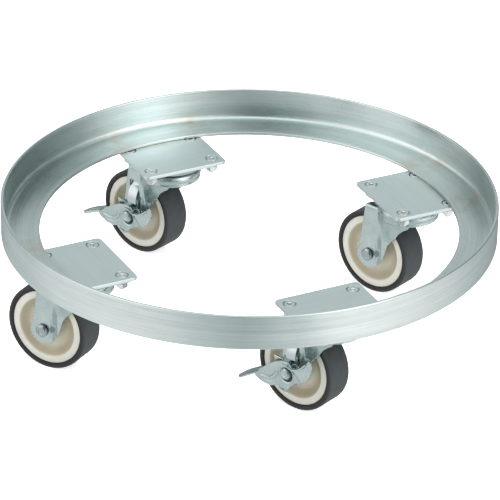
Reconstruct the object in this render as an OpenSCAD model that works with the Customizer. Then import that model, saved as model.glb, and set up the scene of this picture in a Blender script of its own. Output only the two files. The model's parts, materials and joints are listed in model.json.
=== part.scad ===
/* [Ring] */
// Outside diameter of the rolled angle ring
ring_d = 606; // [590:1:620]
// Thickness of the angle bar
angle_t = 4; // [3:0.5:5]
// Height of the standing flange, from the underside of the shelf to the rim
flange_h = 43.5; // [40:0.5:50]
// Width of the shelf that carries the drum, over the flange
shelf_w = 47; // [44:0.5:50]
// Radius in the inside corner of the angle
root_r = 4; // [2:0.5:4]
// Chamfer on the edges of the rim
rim_c = 0.6; // [0.2:0.1:1]

/* [Mounting plates] */
// Radial length of a mounting plate
plate_l = 117.5; // [110:0.5:120]
// Tangential width of a mounting plate
plate_w = 112; // [106:1:118]
// Thickness of a mounting plate
plate_t = 4; // [3:0.5:5]
// Corner radius of a mounting plate
plate_corner = 6; // [3:0.5:8]
// Radial hole spacing
hole_dx = 62.8; // [60:0.2:66]
// Tangential hole spacing
hole_dy = 84.5; // [82:0.5:88]
// Leg length of the weld bead under the shelf
weld_leg = 4; // [3:0.5:5]
// Length of each weld bead
weld_l = 28; // [15:1:30]

/* [Casters] */
// Distance from the ring axis to a swivel axis
swivel_r = 222.5; // [220:0.5:225]
// Height of the mounting plate's top above the floor
plate_height = 145; // [144:0.5:150]
// Distance from the swivel axis to the wheel axle
trail = 42.4; // [40:0.2:44]
// Trail direction of caster 1, on +X
heading_1 = 113.5; // [0:0.1:360]
// Trail direction of caster 2, on +Y, with a brake
heading_2 = 112.3; // [0:0.1:360]
// Trail direction of caster 3, on -X
heading_3 = 122.9; // [0:0.1:360]
// Trail direction of caster 4, on -Y, with a brake
heading_4 = 113.8; // [0:0.1:360]

/* [Wheels] */
// Wheel diameter
wheel_d = 110; // [108:1:112]
// Width of the tread
tread_w = 36; // [32:1:36]
// Radius of the tread's shoulders
shoulder_r = 5; // [2:0.5:6]
// Outside radius of the hub's rim
rim_r = 47.7; // [46:0.1:49]
// Inside radius of the hub's rim
rim_inner_r = 39; // [37:0.5:41]

/* [Brakes] */
// How far the lever of caster 2 is pressed at rest, in degrees
lever_press_2 = 0; // [0:1:18]
// How far the lever of caster 4 is pressed at rest, in degrees
lever_press_4 = 8; // [0:1:18]

/* [Hidden] */

// Smoothness of large and small rounds
fn_ring = 180;
fn_round = 64;
fn_small = 32;
// Finishes
steel = [0.72, 0.76, 0.76];
bright = [0.85, 0.87, 0.88];
dark_rubber = [0.26, 0.24, 0.23];
cream = [0.86, 0.83, 0.76];

// Heights: the drum stands on the shelf at zero
plate_top = -angle_t;
caster_top = plate_top - plate_t;
floor_z = plate_top - plate_height;
axle_z = floor_z + wheel_d / 2;
rim_z = flange_h - angle_t;

// Outer edge of a mounting plate, as a radius from the ring axis
plate_outer_r = 293;

// Swivel head: the caster's own plate with its pressed dish, and the fork's crown cup
top_t = 3;
top_l = 85;
top_w = 105;
dish_r = 42;
dish_bottom = floor_z + 133.5;
cup_r = 38.3;
cup_top = floor_z + 126.5;
cup_bottom = floor_z + 116;
cup_t = 3;
cup_edge_r = 4;
pin_r = 6;
pin_head_r = 10;
pin_head_t = 3;
run = 0.05;
upper_ball_circle = 27;
upper_balls = 20;
lower_ball_r = 2.5;
lower_ball_circle = 15;
lower_balls = 14;
race_r = 19.2;
race_t = 3;
race_lip_h = 3;
race_lip_t = 1.5;
race_top = cup_top - cup_t - 2 * (lower_ball_r + run);

// Countersunk screws, nuts and lock washers
screw_r = 4;
head_r = 8;
head_sink = 0.3;
screw_l = 18;
socket_af = 5;
socket_depth = 3;
nut_af = 13;
nut_h = 6.5;
washer_r = 7.2;
washer_t = 2;

// Fork legs
sheet_t = 2.5;
web_face = 22;
leg_face = 25.5;
rib_x0 = trail - 13.5;
rib_ramp = 5;
crown_plate_top = cup_top - 2.5;
foot_r = 19.5;
leg_back = trail + 14.6;
leg_front = -16;
crown_front = rib_x0 - 8;
crown_back = leg_back - 7;
saddle_cut_r = 26;
saddle_cut_x = leg_back + 9;
flare_from = 38;
flare_to = 126;
flare_h = 3;
flare_foot_x = 1;
flare_foot_l = 23;
flare_foot_z = axle_z + 38;
flare_foot_h = 2;

// Axle and wheel
axle_r = 4;
axle_gap = 0.2;
sleeve_r = 6;
boss_r = 12;
web_half = 7.5;
bolt_head_h = 5.3;
collar_h = 7.7;

// Brake lever and spring
lever_t = 2.2;
lever_inner_y = leg_face + 0.3;
lever_inner_t = 2.5;
lever_outer_y = 34.2;
lever_hole = [-2, -0.8];
lever_hole_r = 10;
lever_flange_t = 2;
lever_flange_r = 15.2;
lever_hub_r = 16.3;
lip_t = 2;
lip_h = 3.2;
pedal_root = [44, -8.4];
pedal_pitch = 24;
pedal_roll = -20;
pedal_t = 2;
spring_w = 14;
spring_t = 1;
spring_x = 38.7;
spring_top = cup_bottom - 0.6;
window_bottom = axle_z + 35;
window_h = 14.5;
window_gap = 0.5;
slot_x = 26.8;
slot_w = 5.4;
slot_bottom = axle_z + 13;
slot_h = 16;
slot_depth = 6.5;

headings = [heading_1, heading_2, heading_3, heading_4];

// Points along an arc of a circle about [cx, cy], from angle a0 to a1
function arc(cx, cy, r, a0, a1, n = 8) =
    [for (i = [0:n]) let (a = a0 + (a1 - a0) * i / n) [cx + r * cos(a), cy + r * sin(a)]];

// Unit direction from point a to point b
function along(a, b) = (b - a) / norm(b - a);

// Direction of a path at its i-th point
function heading_at(p, i) = along(p[max(i - 1, 0)], p[min(i + 1, len(p) - 1)]);

// One side of a ribbon, at distance d to the left of its centre line
function ribbon_side(p, d) =
    [for (i = [0:len(p) - 1]) let (h = heading_at(p, i)) p[i] + d * [-h[1], h[0]]];

// A strip of even thickness t along the path p
module ribbon(p, t) {
    back = ribbon_side(p, -t / 2);
    polygon(concat(ribbon_side(p, t / 2), [for (i = [len(back) - 1:-1:0]) back[i]]));
}

// A centred rectangle with true round corners
module rounded_rect(l, w, r) {
    square([l - 2 * r, w], center = true);
    square([l, w - 2 * r], center = true);
    for (x = [-1, 1], y = [-1, 1])
        translate([x * (l / 2 - r), y * (w / 2 - r)])
            circle(r, $fn = fn_small);
}

// Frame of caster i: +X points away from the ring axis, origin on the swivel axis
module at_caster(i) {
    rotate([0, 0, 90 * (i - 1)])
        translate([swivel_r, 0, 0])
            children();
}

// Frame of the swivelling part of caster i: +X is the trail direction, +Y the outer face
module at_fork(i) {
    at_caster(i)
        rotate([0, 0, headings[i - 1] - 90 * (i - 1)])
            children();
}

// Frame of wheel i: Z is the wheel axle
module at_wheel(i) {
    at_fork(i)
        translate([trail, 0, axle_z])
            rotate([-90, 0, 0])
                children();
}

// Stands its outline, drawn in X and Z, upright between y and y + t
module upright(y, t) {
    translate([0, y + t, 0])
        rotate([90, 0, 0])
            linear_extrude(t)
                children();
}

// Places its child at each screw of one caster
module at_screws() {
    for (x = [-1, 1], y = [-1, 1])
        translate([x * hole_dx / 2, y * hole_dy / 2, 0])
            children();
}

module ring_frame() {
    r = ring_d / 2;
    inner = r - angle_t;
    color(steel)
        rotate_extrude($fn = fn_ring)
            polygon(concat(
                [[r - shelf_w, plate_top], [r, plate_top], [r, rim_z - rim_c], [r - rim_c, rim_z],
                 [inner + rim_c, rim_z], [inner, rim_z - rim_c]],
                arc(inner - root_r, root_r, root_r, 0, -90),
                [[r - shelf_w + rim_c, 0], [r - shelf_w, -rim_c]]));
}

module weld_bead() {
    rotate([90, 0, 90])
        linear_extrude(weld_l)
            polygon(concat([[0, 0]], arc(0, 0, weld_leg, 0, -90, 6)));
}

module weld_beads() {
    shelf_in = ring_d / 2 - shelf_w;
    color(steel)
        for (i = [1:4])
            rotate([0, 0, 90 * (i - 1)])
                for (s = [0, 1])
                    mirror([0, s, 0])
                        translate([shelf_in, plate_w / 2, plate_top])
                            weld_bead();
}

module mount_plate(i) {
    color(steel)
        rotate([0, 0, 90 * (i - 1)])
            difference() {
                translate([plate_outer_r - plate_l / 2, 0, caster_top])
                    linear_extrude(plate_t)
                        rounded_rect(plate_l, plate_w, plate_corner);
                translate([swivel_r, 0, 0])
                    at_screws()
                        screw_hole();
            }
}

module screw_hole() {
    depth = head_r - screw_r;
    translate([0, 0, caster_top - 1])
        cylinder(h = plate_t + 2, r = screw_r + axle_gap, $fn = fn_small);
    translate([0, 0, plate_top - head_sink - depth])
        cylinder(h = depth, r1 = screw_r, r2 = head_r, $fn = fn_small);
    translate([0, 0, plate_top - head_sink])
        cylinder(h = 1, r = head_r, $fn = fn_small);
}

module plate_screw() {
    depth = head_r - screw_r;
    translate([0, 0, plate_top - head_sink])
        difference() {
            union() {
                translate([0, 0, -depth])
                    cylinder(h = depth, r1 = screw_r, r2 = head_r, $fn = fn_small);
                translate([0, 0, -screw_l])
                    cylinder(h = screw_l - depth, r = screw_r, $fn = fn_small);
            }
            translate([0, 0, -socket_depth])
                cylinder(h = socket_depth + 1, d = socket_af / cos(30), $fn = 6);
        }
}

module plate_screws() {
    color(bright)
        for (i = [1:4])
            at_caster(i)
                at_screws()
                    plate_screw();
}

module hex_nut() {
    difference() {
        cylinder(h = nut_h, d = nut_af / cos(30), $fn = 6);
        translate([0, 0, -1])
            cylinder(h = nut_h + 2, r = screw_r, $fn = fn_small);
    }
}

module plate_nuts() {
    color(bright)
        for (i = [1:4])
            at_caster(i)
                at_screws()
                    translate([0, 0, caster_top - top_t - washer_t - nut_h])
                        hex_nut();
}

module lock_washers() {
    color(steel)
        for (i = [1:4])
            at_caster(i)
                at_screws()
                    translate([0, 0, caster_top - top_t - washer_t])
                        difference() {
                            cylinder(h = washer_t, r = washer_r, $fn = fn_small);
                            translate([0, 0, -1])
                                cylinder(h = washer_t + 2, r = screw_r, $fn = fn_small);
                        }
}

module top_plate(i) {
    flat_bottom = caster_top - top_t;
    color(steel)
        at_caster(i) {
            translate([0, 0, flat_bottom])
                linear_extrude(top_t)
                    difference() {
                        rounded_rect(top_l, top_w, plate_corner);
                        circle(dish_r - 1, $fn = fn_round);
                        at_screws()
                            circle(screw_r + axle_gap, $fn = fn_small);
                    }
            rotate_extrude($fn = fn_round)
                polygon([[pin_r + run, dish_bottom + top_t], [dish_r - 5, dish_bottom + top_t],
                         [dish_r - 2, caster_top], [dish_r, caster_top], [dish_r, flat_bottom],
                         [dish_r - 1, dish_bottom + 1], [dish_r - 2, dish_bottom],
                         [pin_r + run, dish_bottom]]);
        }
}

module king_pin(i) {
    upper = dish_bottom + top_t;
    lower = race_top - race_t;
    color(bright)
        at_caster(i) {
            translate([0, 0, upper])
                cylinder(h = pin_head_t, r = pin_head_r, $fn = fn_small);
            translate([0, 0, lower])
                cylinder(h = upper - lower, r = pin_r, $fn = fn_small);
            translate([0, 0, lower - pin_head_t])
                cylinder(h = pin_head_t, r = pin_head_r, $fn = fn_small);
        }
}

module race_cup(i) {
    color(steel)
        at_caster(i)
            rotate_extrude($fn = fn_round)
                polygon([[pin_r + run, race_top], [pin_r + run, race_top - race_t],
                         [race_r - 1, race_top - race_t], [race_r, race_top - race_t + 1],
                         [race_r, race_top + race_lip_h], [race_r - race_lip_t, race_top + race_lip_h],
                         [race_r - race_lip_t, race_top]]);
}

module ball_ring(count, circle_r, ball_r, z) {
    for (k = [0:count - 1])
        rotate([0, 0, 360 * k / count])
            translate([circle_r, 0, z])
                sphere(ball_r, $fn = fn_small);
}

module swivel_balls(i) {
    gap = dish_bottom - cup_top;
    color(bright)
        at_fork(i) {
            ball_ring(upper_balls, upper_ball_circle, gap / 2 - run, cup_top + gap / 2);
            ball_ring(lower_balls, lower_ball_circle, lower_ball_r, race_top + lower_ball_r + run);
        }
}

// Crown cup of the fork, with its rounded top edge and the hole for the king pin
module crown_cup() {
    inside = cup_r - cup_t;
    rotate_extrude($fn = fn_round)
        polygon(concat(
            [[pin_r + run, cup_top - cup_t], [pin_r + run, cup_top]],
            arc(cup_r - cup_edge_r, cup_top - cup_edge_r, cup_edge_r, 90, 0, 6),
            [[cup_r, cup_bottom], [inside, cup_bottom], [inside, cup_top - cup_t - 1],
             [inside - 1, cup_top - cup_t]]));
}

// Saddle that joins the cup to the tops of both legs
module crown_saddle() {
    translate([0, 0, crown_plate_top - sheet_t])
        linear_extrude(sheet_t)
            difference() {
                translate([crown_front, -leg_face])
                    square([crown_back - crown_front, 2 * leg_face]);
                circle(cup_r - 1, $fn = fn_round);
                translate([saddle_cut_x, 0])
                    circle(saddle_cut_r, $fn = fn_round);
            }
}

// Side view of a leg, from the crown down round the foot and up the front edge
function leg_outline() = concat(
    [[crown_back - 0.5, crown_plate_top], [leg_back - 1, axle_z + 6]],
    arc(trail, axle_z, foot_r, -41, -165, 12),
    [[18.5, axle_z + 15], [7, axle_z + 31], [-4, axle_z + 44], [leg_front, axle_z + 55],
     [leg_front, cup_bottom], [crown_front, cup_bottom], [crown_front, crown_plate_top]]);

// Plan view of a leg: flat web, ramp and raised rib
module leg_section() {
    front = leg_front - 1;
    polygon([[front, web_face], [front, web_face - sheet_t], [rib_x0 - rib_ramp + 1, web_face - sheet_t],
             [rib_x0 + 1, leg_face - sheet_t], [leg_back + 5, leg_face - sheet_t],
             [leg_back + 5, leg_face], [rib_x0, leg_face], [rib_x0 - rib_ramp, web_face]]);
}

// Gusset that flares from the web out to the wall of the crown cup
module leg_flare() {
    ring_z = cup_bottom + 0.5;
    hull() {
        translate([0, 0, ring_z])
            linear_extrude(flare_h)
                polygon(concat(arc(0, 0, cup_r - 0.2, flare_from, flare_to, 10),
                               arc(0, 0, cup_r - cup_t + 0.2, flare_to, flare_from, 10)));
        translate([flare_foot_x, web_face - sheet_t, flare_foot_z])
            cube([flare_foot_l, sheet_t, flare_foot_h]);
    }
}

module fork_leg() {
    intersection() {
        upright(web_face - sheet_t, leg_face - web_face + sheet_t)
            polygon(leg_outline());
        translate([0, 0, axle_z - foot_r - 1])
            linear_extrude(crown_plate_top - axle_z + foot_r + 1)
                leg_section();
    }
    leg_flare();
}

module fork_body() {
    difference() {
        union() {
            crown_cup();
            crown_saddle();
            fork_leg();
            mirror([0, 1, 0])
                fork_leg();
        }
        translate([trail, 0, axle_z])
            rotate([-90, 0, 0])
                cylinder(h = 80, r = axle_r + axle_gap, center = true, $fn = fn_small);
    }
}

module fork(i) {
    color(steel)
        at_fork(i)
            fork_body();
}

// A brake fork has a window in the rib that lets the leaf spring through, and a slot ahead of it
module brake_fork(i) {
    color(steel)
        at_fork(i)
            difference() {
                fork_body();
                translate([spring_x - spring_w / 2 - window_gap, leg_face - sheet_t - 1, window_bottom])
                    cube([spring_w + 2 * window_gap, sheet_t + 2, window_h]);
                translate([slot_x, leg_face + 1 - slot_depth, slot_bottom])
                    cube([slot_w, slot_depth, slot_h]);
            }
}

// Hexagon bolt; collar is the length of the shoulder that a brake lever turns on
module axle_bolt(i, collar) {
    under_head = leg_face + collar;
    end = leg_face + washer_t + nut_h + 2;
    color(bright)
        at_wheel(i) {
            translate([0, 0, under_head])
                cylinder(h = bolt_head_h, d = nut_af / cos(30), $fn = 6);
            translate([0, 0, -end])
                cylinder(h = end + under_head, r = axle_r, $fn = fn_small);
            if (collar > 0)
                translate([0, 0, leg_face])
                    cylinder(h = collar, r = sleeve_r, $fn = fn_small);
        }
}

module axle_nut(i) {
    color(bright)
        at_wheel(i)
            mirror([0, 0, 1])
                translate([0, 0, leg_face])
                    difference() {
                        union() {
                            cylinder(h = washer_t, r = washer_r, $fn = fn_small);
                            translate([0, 0, washer_t])
                                cylinder(h = nut_h, d = nut_af / cos(30), $fn = 6);
                        }
                        translate([0, 0, -1])
                            cylinder(h = nut_h + washer_t + 2, r = axle_r + run, $fn = fn_small);
                    }
}

module axle_sleeve(i) {
    half = leg_face - sheet_t;
    color(bright)
        at_wheel(i)
            difference() {
                cylinder(h = 2 * half, r = sleeve_r, center = true, $fn = fn_small);
                cylinder(h = 2 * half + 2, r = axle_r + axle_gap / 2, center = true, $fn = fn_small);
            }
}

// Half of the hub's section, from the bore out to the rim; the other half mirrors it
function hub_half() = let (boss = leg_face - sheet_t - 0.3, rim_face = tread_w / 2 - 1.5) [
    [sleeve_r + run, 0], [sleeve_r + run, boss], [boss_r - 0.5, boss], [boss_r + 0.5, web_half + 1.5],
    [25, web_half], [29, web_half + 1.5], [rim_inner_r - 1, rim_face - 1],
    [rim_inner_r + 0.5, rim_face], [rim_r - 0.7, rim_face], [rim_r, rim_face - 0.7], [rim_r, 0]];

module wheel_hub(i) {
    color(cream)
        at_wheel(i)
            for (s = [0, 1])
                mirror([0, 0, s])
                    rotate_extrude($fn = fn_round)
                        polygon(hub_half());
}

module wheel_tread(i) {
    r = wheel_d / 2;
    half = tread_w / 2;
    color(dark_rubber)
        at_wheel(i)
            rotate_extrude($fn = fn_round)
                polygon(concat(
                    [[rim_r, half - 0.5], [rim_r, -half + 0.5], [rim_r + 0.5, -half]],
                    arc(r - shoulder_r, -half + shoulder_r, shoulder_r, -90, 0, 6),
                    arc(r - shoulder_r, half - shoulder_r, shoulder_r, 0, 90, 6),
                    [[rim_r + 0.5, half]]));
}

// Outer plate of the lever, seen from outside; the axle is at the origin
function lever_outline() = [
    [49, -12], [38, -0.5], [26, 7.5], [14, 13.5], [4, 16.3], [-4, 15.5], [-8, 11.5], [-14, 9.8],
    [-24, 12.5], [-33, 19], [-38, 24], [-42, 23.5], [-42.5, 14], [-38.5, 4], [-32, -3.5],
    [-27, -5.5], [-16, -9.5], [-8, -14], [-1, -21.5], [10, -20], [14, -17.5], [24, -20.5],
    [34, -19.5], [43, -16]];

module lever_shape() {
    outer = lever_outer_y;
    inner = lever_inner_y;
    upright(outer, lever_t)
        difference() {
            polygon(lever_outline());
            translate(lever_hole)
                circle(lever_hole_r, $fn = fn_small);
        }
    upright(inner, lever_inner_t)
        difference() {
            union() {
                circle(lever_hub_r, $fn = fn_small);
                polygon([[7, 14.2], [22.5, 18], [21, 10.7], [14, 6]]);
            }
            circle(sleeve_r + run, $fn = fn_small);
        }
    upright(inner, outer - inner + lever_t)
        ribbon(arc(0, 0, lever_flange_r, 125, 65, 6), lever_flange_t);
    upright(outer, lever_t + lip_h)
        ribbon([[1, 13.2], [-5, 12.6], [-9, 9.9], [-14, 8.6], [-21, 10.1], [-29, 14.6], [-36, 20.6]], lip_t);
    translate([pedal_root[0], outer + lever_t, pedal_root[1]])
        lever_pedal();
}

// Flat tongue for the foot: it leaves the plate's end, rolled so that its outer edge is the lower one
module lever_pedal() {
    rotate([pedal_roll, pedal_pitch, 0])
        linear_extrude(pedal_t)
            polygon([[-5, 0], [30, 0], [34, -1.5], [35.8, -4], [35, -6.5], [31, -8.6], [22, -10.5],
                [10, -11.5], [-2, -11.5], [-5, -8]]);
}

module brake_lever(i, press) {
    color(steel)
        at_fork(i)
            translate([trail, 0, axle_z])
                rotate([0, press, 0])
                    lever_shape();
}

// Leaf: held behind the leg below the cup, out through the window and down to the lever
function spring_path() = [
    [21.2, spring_top], [21.2, axle_z + 46], [22, axle_z + 43], [25, axle_z + 38.6],
    [28.2, axle_z + 32.5], [30, axle_z + 26], [30.4, axle_z + 19]];

module brake_spring(i) {
    color(bright)
        at_fork(i)
            translate([spring_x + spring_w / 2, 0, 0])
                rotate([90, 0, -90])
                    linear_extrude(spring_w)
                        mirror([1, 0])
                            ribbon(spring_path(), spring_t);
}

ring_frame();
weld_beads();
plate_screws();
plate_nuts();
lock_washers();
mount_plate(1);  // mount_plate_1
mount_plate(2);  // mount_plate_2
mount_plate(3);  // mount_plate_3
mount_plate(4);  // mount_plate_4
top_plate(1);  // top_plate_1
top_plate(2);  // top_plate_2
top_plate(3);  // top_plate_3
top_plate(4);  // top_plate_4
king_pin(1);  // king_pin_1
king_pin(2);  // king_pin_2
king_pin(3);  // king_pin_3
king_pin(4);  // king_pin_4
race_cup(1);  // race_cup_1
race_cup(2);  // race_cup_2
race_cup(3);  // race_cup_3
race_cup(4);  // race_cup_4
swivel_balls(1);  // swivel_balls_1
swivel_balls(2);  // swivel_balls_2
swivel_balls(3);  // swivel_balls_3
swivel_balls(4);  // swivel_balls_4
fork(1);  // fork_1
brake_fork(2);  // fork_2
fork(3);  // fork_3
brake_fork(4);  // fork_4
axle_bolt(1, 0);  // axle_bolt_1
axle_bolt(2, collar_h);  // axle_bolt_2
axle_bolt(3, 0);  // axle_bolt_3
axle_bolt(4, collar_h);  // axle_bolt_4
axle_nut(1);  // axle_nut_1
axle_nut(2);  // axle_nut_2
axle_nut(3);  // axle_nut_3
axle_nut(4);  // axle_nut_4
axle_sleeve(1);  // axle_sleeve_1
axle_sleeve(2);  // axle_sleeve_2
axle_sleeve(3);  // axle_sleeve_3
axle_sleeve(4);  // axle_sleeve_4
wheel_hub(1);  // wheel_hub_1
wheel_hub(2);  // wheel_hub_2
wheel_hub(3);  // wheel_hub_3
wheel_hub(4);  // wheel_hub_4
wheel_tread(1);  // wheel_tread_1
wheel_tread(2);  // wheel_tread_2
wheel_tread(3);  // wheel_tread_3
wheel_tread(4);  // wheel_tread_4
brake_lever(2, lever_press_2);  // brake_lever_2
brake_lever(4, lever_press_4);  // brake_lever_4
brake_spring(2);  // brake_spring_2
brake_spring(4);  // brake_spring_4
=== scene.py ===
import json
import math
import random

import bmesh
import bpy
from mathutils import Matrix, Quaternion, Vector
from mathutils.geometry import tessellate_polygon


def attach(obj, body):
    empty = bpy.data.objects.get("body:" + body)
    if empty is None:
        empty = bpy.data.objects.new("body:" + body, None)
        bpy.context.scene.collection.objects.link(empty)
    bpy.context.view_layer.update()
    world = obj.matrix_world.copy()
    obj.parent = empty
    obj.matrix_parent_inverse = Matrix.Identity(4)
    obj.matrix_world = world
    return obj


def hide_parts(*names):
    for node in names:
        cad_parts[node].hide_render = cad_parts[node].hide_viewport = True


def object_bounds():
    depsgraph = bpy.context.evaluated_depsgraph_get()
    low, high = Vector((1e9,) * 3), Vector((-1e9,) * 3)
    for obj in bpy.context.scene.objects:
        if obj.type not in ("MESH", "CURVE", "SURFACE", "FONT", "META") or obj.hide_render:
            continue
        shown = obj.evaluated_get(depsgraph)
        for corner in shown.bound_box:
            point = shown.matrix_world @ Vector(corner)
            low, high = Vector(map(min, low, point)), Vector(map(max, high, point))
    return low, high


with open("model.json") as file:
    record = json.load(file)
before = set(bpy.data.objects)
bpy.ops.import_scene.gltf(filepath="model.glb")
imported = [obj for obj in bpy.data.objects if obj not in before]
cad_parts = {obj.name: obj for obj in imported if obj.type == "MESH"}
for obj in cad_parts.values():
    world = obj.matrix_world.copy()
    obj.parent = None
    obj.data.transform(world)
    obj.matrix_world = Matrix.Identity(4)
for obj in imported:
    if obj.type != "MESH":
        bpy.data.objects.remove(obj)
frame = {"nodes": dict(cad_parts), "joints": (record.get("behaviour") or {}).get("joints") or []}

TAU = 2 * math.pi
MM = 0.001
OWN_FRAME = "own_frame"  # each piece's points before it was put in its place, for its material to read
cad_low, cad_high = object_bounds()
joints = {j["name"]: j for j in frame["joints"]}
CASTERS = (1, 2, 3, 4)
BRAKED = (2, 4)

# Sizes of the CAD parts, in millimetres, in the row frame
RING_R = 303.0
WALL = 4.0
RIM_Z = 39.5
SHELF_IN = 256.0
PLATE_TOP = -4.0
PLATE_BOTTOM = -8.0
TOP_PLATE_BOTTOM = -11.0
AXLE_Z = -94.0
TRAIL = 42.4
HOLE_X, HOLE_Y = 31.4, 42.25
SWIVEL_R = 222.5
CUP_R = 38.3
CUP_TOP = -22.5
CUP_BOTTOM = -33.0
CROWN_TOP = -25.0
SHEET = 2.5
WEB_Y, RIB_Y = 22.0, 25.5
MARK_X, MARK_Z = TRAIL - 12.8, AXLE_Z + 3.2  # middle of the pressed pocket
POCKET_U, POCKET_V, POCKET_DEPTH = 3.4, 4.4, 2.2
NEAR_AXIS = 0.001  # stands for a radius of 0: to_mesh merges the points there
PLATE_OUT_R, PLATE_L, PLATE_HALF = 293.0, 117.5, 56.0
SCREW_PLACES = [(sx * HOLE_X, sy * HOLE_Y) for sx in (-1, 1) for sy in (-1, 1)]
SCREW_SINK = 0.3
COUNTERSINK_R = 8.0
BOLT_R = 4.0
HEX_AF, NUT_H = 13.0, 6.5
WASHER_R, WASHER_H = 7.2, 2.0
COLLAR_H = 7.7  # shoulder of the braked axles, which the lever turns on
WHEEL_R, RIM_R, TREAD_HALF = 55.0, 47.7, 18.0
LEVER_HUB_R, LEVER_HOLE_R = 16.3, 9.2


# ---------------------------------------------------------------- frames

def caster_frame(i):
    """Frame on the swivel axis of caster i that doesn't turn: X away from the ring's axis."""
    x, y, _ = joints[f"swivel_{i}"]["pos_m"]
    return Matrix.Translation((x, y, 0)) @ Matrix.Rotation(math.atan2(y, x), 4, "Z")


def fork_frame(i):
    """Frame of the swivelling part: X is the trail direction, Y the side with the axle's head."""
    x, y, _ = joints[f"swivel_{i}"]["pos_m"]
    side = Vector(joints[f"wheel_spin_{i}"]["axis"]).normalized()
    up = Vector((0, 0, 1))
    trail = side.cross(up)
    turn = Matrix((trail, side, up)).transposed().to_4x4()
    return Matrix.Translation((x, y, 0)) @ turn


def axle_frame(i):
    """As fork_frame, with its origin in the middle of the axle."""
    return fork_frame(i) @ Matrix.Translation((TRAIL * MM, 0, AXLE_Z * MM))


def wheel_frame(i):
    """Origin in the middle of the axle, Z along it towards the head."""
    return axle_frame(i) @ Matrix.Rotation(-math.pi / 2, 4, "X")


# ---------------------------------------------------------------- outlines

def smooth(x, low=0.0, high=1.0):
    t = min(1.0, max(0.0, (x - low) / (high - low)))
    return t * t * (3 - 2 * t)


def rounded(points, radii, steps=4):
    """Closed outline with its corners turned into arcs. radii is one number, or one for each corner."""
    n = len(points)
    if not hasattr(radii, "__len__"):
        radii = [radii] * n
    out = []
    for i, p in enumerate(points):
        p, a, b = Vector(p), Vector(points[i - 1]), Vector(points[(i + 1) % n])
        u, v = (a - p).normalized(), (b - p).normalized()
        half = math.acos(max(-1.0, min(1.0, u.dot(v)))) / 2
        r = radii[i]
        if r <= 0 or half > 1.55:
            out.append(tuple(p))
            continue
        reach = min(r / math.tan(half), 0.48 * (a - p).length, 0.48 * (b - p).length)
        r = reach * math.tan(half)
        centre = p + (u + v).normalized() * (r / math.sin(half))
        start, end = p + u * reach - centre, p + v * reach - centre
        whole = start.angle(end)
        for k in range(steps + 1):
            t = k / steps
            w = (start * math.sin((1 - t) * whole) + end * math.sin(t * whole)) / math.sin(whole)
            out.append(tuple(centre + w))
    return out


def circle(r, steps, cx=0.0, cy=0.0):
    return [(cx + r * math.cos(TAU * k / steps), cy + r * math.sin(TAU * k / steps))
            for k in range(steps)]


def rectangle(x0, x1, y0, y1, r, steps=6):
    return rounded([(x0, y0), (x1, y0), (x1, y1), (x0, y1)], r, steps)


def area(loop):
    return sum(a[0] * b[1] - b[0] * a[1] for a, b in zip(loop, loop[1:] + loop[:1])) / 2


def inset(loop, d):
    """The loop moved to its left by d along its corners' mean normals."""
    n, out = len(loop), []
    for i, p in enumerate(loop):
        p, a, b = Vector(p), Vector(loop[i - 1]), Vector(loop[(i + 1) % n])
        u, v = (p - a).normalized(), (b - p).normalized()
        left = Vector((-(u + v).y, (u + v).x)).normalized()
        stretch = max(0.5, math.cos(u.angle(v, 0) / 2))
        out.append(tuple(p + left * (d / stretch)))
    return out


# ---------------------------------------------------------------- meshes, as (vertices, faces) in millimetres

def revolve(profile, steps, closed=True):
    """A profile of (radius, z) points turned round Z."""
    n = len(profile)
    last = n if closed else n - 1
    verts = [(r * math.cos(TAU * k / steps), r * math.sin(TAU * k / steps), z)
             for k in range(steps) for r, z in profile]
    faces = []
    for k in range(steps):
        m = (k + 1) % steps
        for j in range(last):
            faces.append((k * n + j, m * n + j, m * n + (j + 1) % n, k * n + (j + 1) % n))
    return verts, faces


def plate(outline, holes, z0, z1, edge, steps=3):
    """A flat plate with rounded edges on its outline and its holes."""
    loops = [outline if area(outline) > 0 else outline[::-1]]
    loops += [h if area(h) < 0 else h[::-1] for h in holes]
    angles = [math.pi / 2 * k / steps for k in range(steps + 1)]
    layers = [(edge * (1 - math.sin(a)), z0 + edge * (1 - math.cos(a))) for a in angles]
    layers += [(edge * (1 - math.cos(a)), z1 - edge * (1 - math.sin(a))) for a in angles]
    verts, faces, top_cap, bottom_cap = [], [], [], []
    for loop in loops:
        n = len(loop)
        base = len(verts)
        for d, z in layers:
            verts += [(x, y, z) for x, y in inset(loop, d)]
        for layer in range(len(layers) - 1):
            for j in range(n):
                a, b = base + layer * n + j, base + layer * n + (j + 1) % n
                faces.append((a, b, b + n, a + n))
        bottom_cap += [base + j for j in range(n)]
        top_cap += [base + (len(layers) - 1) * n + j for j in range(n)]
    start = 0
    shape = []
    for loop in loops:
        shape.append([Vector((*verts[i][:2], 0)) for i in top_cap[start:start + len(loop)]])
        start += len(loop)
    for a, b, c in tessellate_polygon(shape):
        p, q, r = (verts[top_cap[k]] for k in (a, b, c))
        up = (q[0] - p[0]) * (r[1] - p[1]) - (q[1] - p[1]) * (r[0] - p[0]) > 0
        faces.append(tuple(top_cap[k] for k in ((a, b, c) if up else (a, c, b))))
        faces.append(tuple(bottom_cap[k] for k in ((a, c, b) if up else (a, b, c))))
    return verts, faces


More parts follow.
